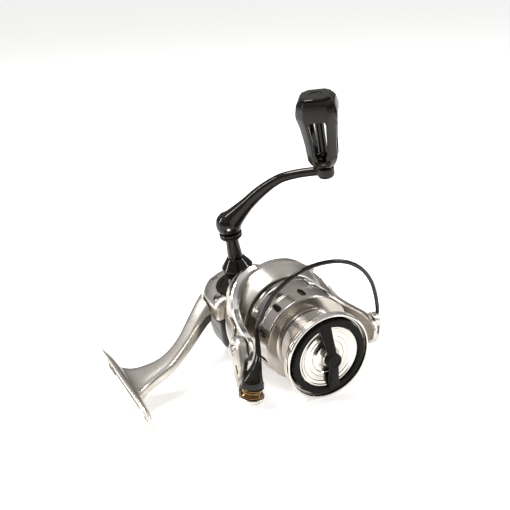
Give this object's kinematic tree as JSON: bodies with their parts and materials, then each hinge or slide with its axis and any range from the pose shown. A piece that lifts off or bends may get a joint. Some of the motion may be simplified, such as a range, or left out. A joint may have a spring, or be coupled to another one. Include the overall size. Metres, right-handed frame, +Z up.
{
  "type": "spinning reel",
  "caption": "Open-face fishing reel with rod foot, geared body, two-armed rotor with a hinged wire bail, skirted spool with a front drag knob, and a crank handle with a slotted knob.",
  "frame": {"origin": "centre of the bounding box footprint, on the plane the reel lies on", "axes": "+Z up as the reel lies on its side with the handle up, +X close to the spool end of the main shaft, +Y from the rod foot to the body"},
  "size_m": [0.0988, 0.133, 0.1462],
  "materials": {
    "satin_alloy": "satin champagne-silver coat",
    "steel": "machined",
    "gloss_black": "gloss black anodised",
    "polished_alloy": "polished, bright cut",
    "grip_black": "matte black",
    "brass": "machined",
    "felt": "oiled felt",
    "dark_grey": "satin dark grey",
    "gloss_black_plastic": "gloss black",
    "bronze_coat": "bronze-brown hard coat"
  },
  "bodies": {
    "body": {"gear_housing": "dark_grey", "side_cover": "satin_alloy", "port_cap": "gloss_black_plastic", "handle_bearing_1": "steel", "handle_bearing_2": "steel", "rod_foot": "satin_alloy", "body_screw_1": "steel", "body_screw_2": "steel", "front_nose": "dark_grey", "one_way_clutch": "steel", "clutch_cover": "satin_alloy", "pinion_bushing": "steel", "oscillation_post": "steel", "guide_rod": "steel"},
    "handle": {"drive_gear": "brass", "transfer_gear": "brass", "port_seal": "satin_alloy", "collar": "gloss_black", "shank": "gloss_black", "shank_flange": "gloss_black", "crank_arm": "gloss_black", "crank_pin": "steel", "knob_post": "gloss_black"},
    "knob": {"knob_cage": "gloss_black_plastic", "knob_cap": "gloss_black_plastic", "knob_bush_1": "steel", "knob_bush_2": "steel"},
    "rotor": {"pinion": "brass", "rotor": "satin_alloy", "rotor_nut": "steel", "arm_cover_near": "satin_alloy", "arm_cover_far": "satin_alloy"},
    "bail": {"bail_lever": "satin_alloy", "bail_holder": "satin_alloy", "bail_pivot_screw_1": "steel", "bail_pivot_screw_2": "steel", "bail_wire": "gloss_black", "roller_pin": "steel"},
    "roller": {"line_roller": "bronze_coat", "roller_bearing": "steel"},
    "oscillation": {"oscillation_gear": "steel"},
    "shaft": {"main_shaft": "steel", "slider_block": "brass", "spool_support": "brass", "drag_nut": "brass", "click_gear": "steel", "drag_plate": "steel"},
    "spool": {"spool": "polished_alloy", "lip_ring": "polished_alloy", "line_clip": "satin_alloy", "spool_bushing": "brass", "drag_washer_1": "felt", "drag_washer_2": "felt", "drag_retainer": "steel", "click_pawl": "steel"},
    "drag_knob": {"drag_dish": "polished_alloy", "drag_grip": "grip_black", "drag_spring": "steel"}
  },
  "joints": [
    {"name": "handle_turn", "type": "hinge", "parent": "body", "child": "handle", "pos_m": [-0.02447, 0.01361, 0.02752], "axis": [0.102, -0.1845, 0.9775], "continuous": true},
    {"name": "knob_spin", "type": "hinge", "parent": "handle", "child": "knob", "pos_m": [0.01894, 0.03716, 0.12462], "axis": [0.102, -0.1845, 0.9775], "continuous": true},
    {"name": "rotor_spin", "type": "hinge", "parent": "body", "child": "rotor", "pos_m": [-0.00437, 0.02462, 0.0275], "axis": [0.9946, 0, -0.1038], "continuous": true},
    {"name": "oscillation_turn", "type": "hinge", "parent": "body", "child": "oscillation", "pos_m": [-0.03406, 0.02146, 0.02233], "axis": [0.102, -0.1845, 0.9775], "continuous": true},
    {"name": "bail_open", "type": "hinge", "parent": "rotor", "child": "bail", "pos_m": [0.02299, 0.02462, 0.02465], "axis": [0.0095, -0.9958, 0.0913], "range_deg": [-95, 0]},
    {"name": "roller_spin", "type": "hinge", "parent": "bail", "child": "roller", "pos_m": [0.03625, -0.01357, 0.01206], "axis": [0.1033, 0.0918, 0.9904], "continuous": true},
    {"name": "shaft_slide", "type": "slide", "parent": "body", "child": "shaft", "axis": [0.9946, 0, -0.1038], "range_m": [-0.002, 0.008]},
    {"name": "spool_spin", "type": "hinge", "parent": "shaft", "child": "spool", "pos_m": [0.02547, 0.02462, 0.02439], "axis": [0.9946, 0, -0.1038], "continuous": true},
    {"name": "drag_turn", "type": "hinge", "parent": "shaft", "child": "drag_knob", "pos_m": [0.04337, 0.02462, 0.02252], "axis": [0.9946, 0, -0.1038], "range_deg": [-180, 180]}
  ],
  "couplings": [
    {"joint": "rotor_spin", "follows": "handle_turn", "ratio": -4},
    {"joint": "oscillation_turn", "follows": "handle_turn", "ratio": -0.7}
  ]
}
